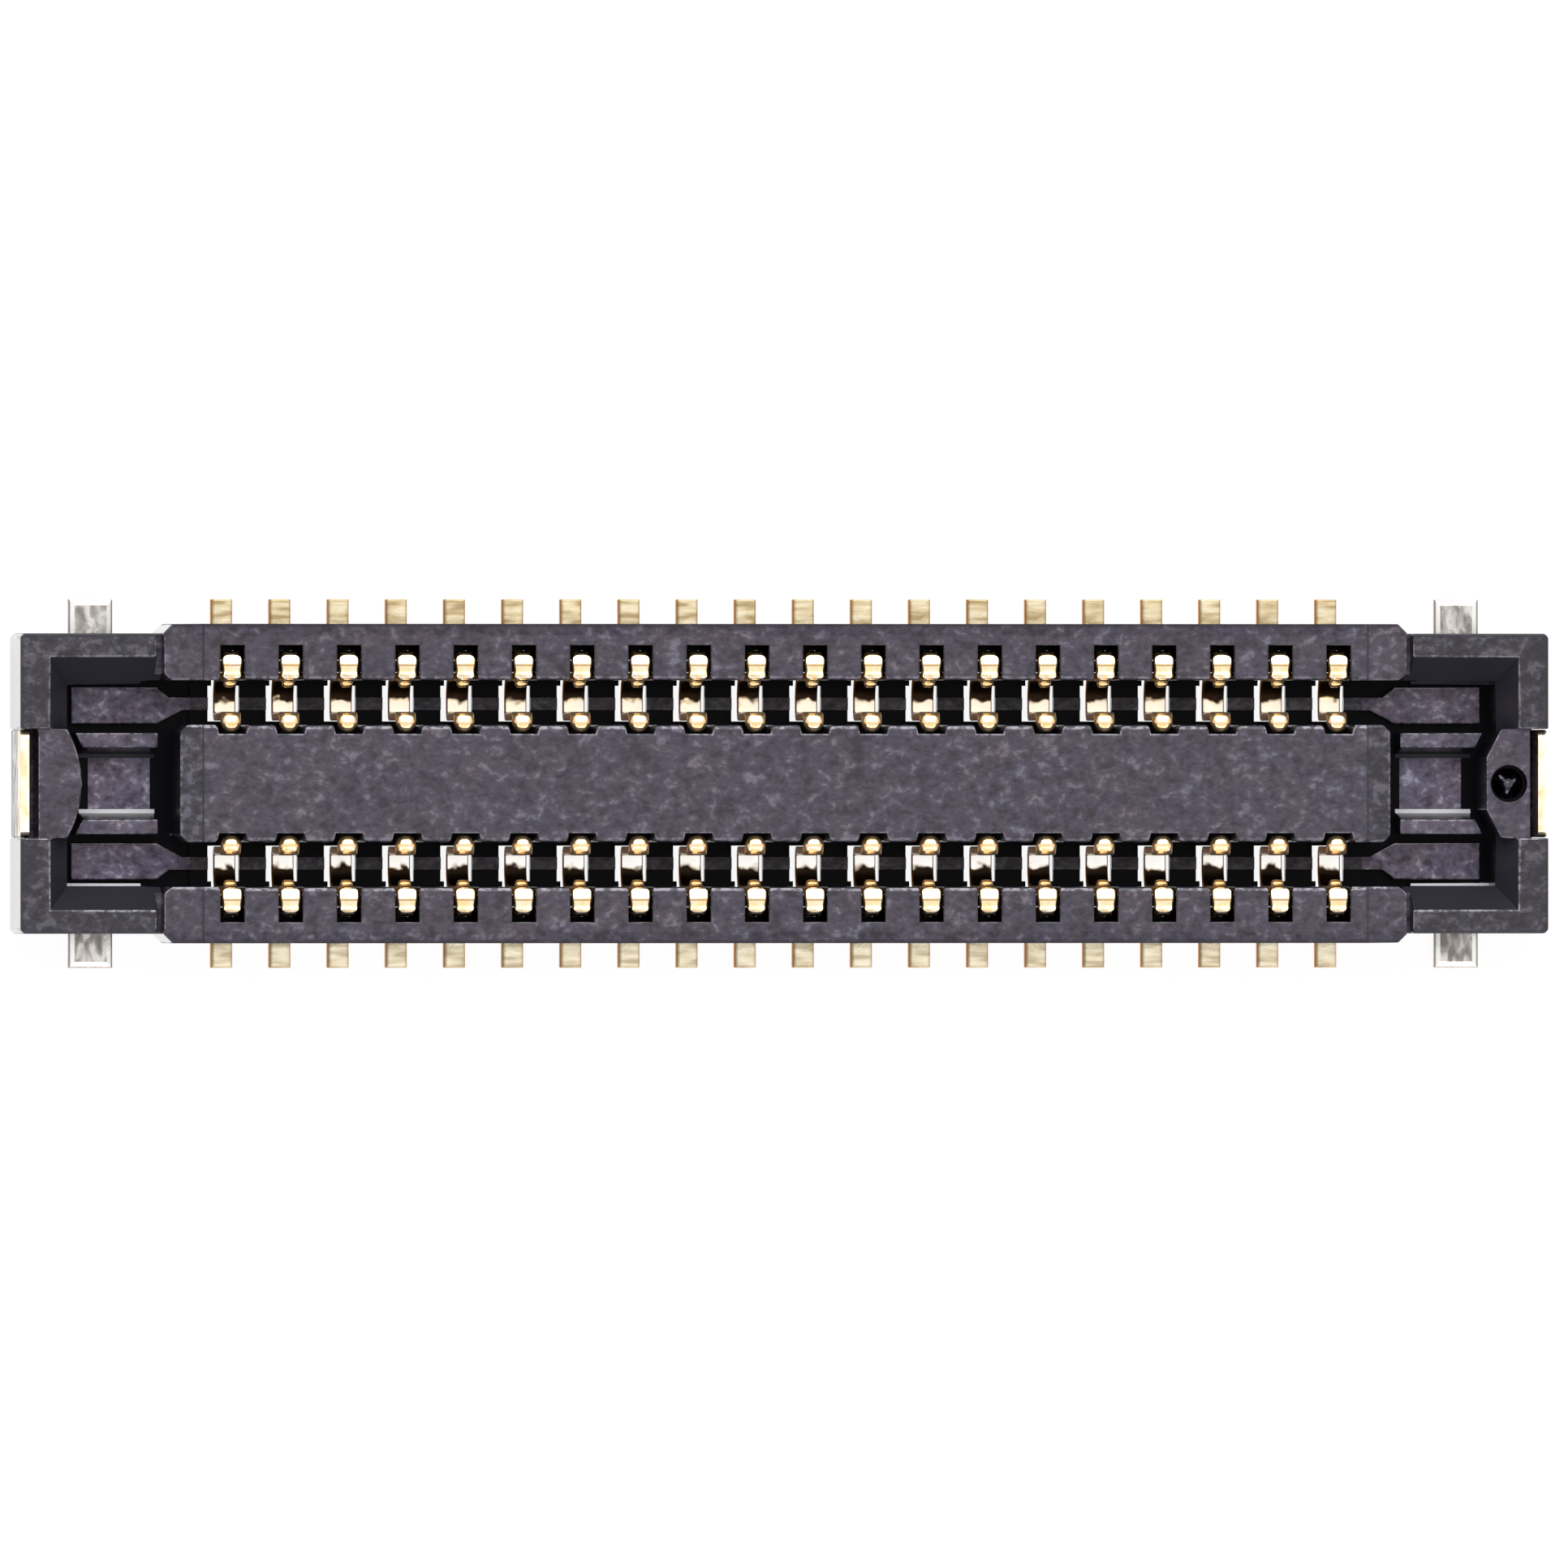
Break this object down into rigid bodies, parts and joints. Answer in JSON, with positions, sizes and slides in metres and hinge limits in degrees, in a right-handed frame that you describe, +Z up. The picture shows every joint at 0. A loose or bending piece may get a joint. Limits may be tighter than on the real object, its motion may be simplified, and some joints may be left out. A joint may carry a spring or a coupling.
{
  "type": "board to board connector socket",
  "caption": "Slim surface-mount board to board socket: black moulded housing with two mating grooves, rows of gold spring contacts and a soldered hold-down at each end.",
  "frame": {"origin": "on the circuit board under the centre of the part", "axes": "+X along the rows towards the end with the gate recess, +Y across the rows, +Z up from the board"},
  "size_m": [0.0104, 0.0026, 0.0008],
  "materials": {
    "housing": "moulded black heat-resistant plastic with a faint flow texture",
    "contact": "copper alloy with bright gold plating",
    "hold_down": "tin-plated sheet with a rolled grain"
  },
  "bodies": {
    "root": {"housing": "housing", "hold_down_left": "hold_down", "hold_down_right": "hold_down", "contact_a01": "contact", "contact_a02": "contact", "contact_a03": "contact", "contact_a04": "contact", "contact_a05": "contact", "contact_a06": "contact", "contact_a07": "contact", "contact_a08": "contact", "contact_a09": "contact", "contact_a10": "contact", "contact_a11": "contact", "contact_a12": "contact", "contact_a13": "contact", "contact_a14": "contact", "contact_a15": "contact", "contact_a16": "contact", "contact_a17": "contact", "contact_a18": "contact", "contact_a19": "contact", "contact_a20": "contact", "contact_b01": "contact", "contact_b02": "contact", "contact_b03": "contact", "contact_b04": "contact", "contact_b05": "contact", "contact_b06": "contact", "contact_b07": "contact", "contact_b08": "contact", "contact_b09": "contact", "contact_b10": "contact", "contact_b11": "contact", "contact_b12": "contact", "contact_b13": "contact", "contact_b14": "contact", "contact_b15": "contact", "contact_b16": "contact", "contact_b17": "contact", "contact_b18": "contact", "contact_b19": "contact", "contact_b20": "contact"}
  },
  "joints": []
}
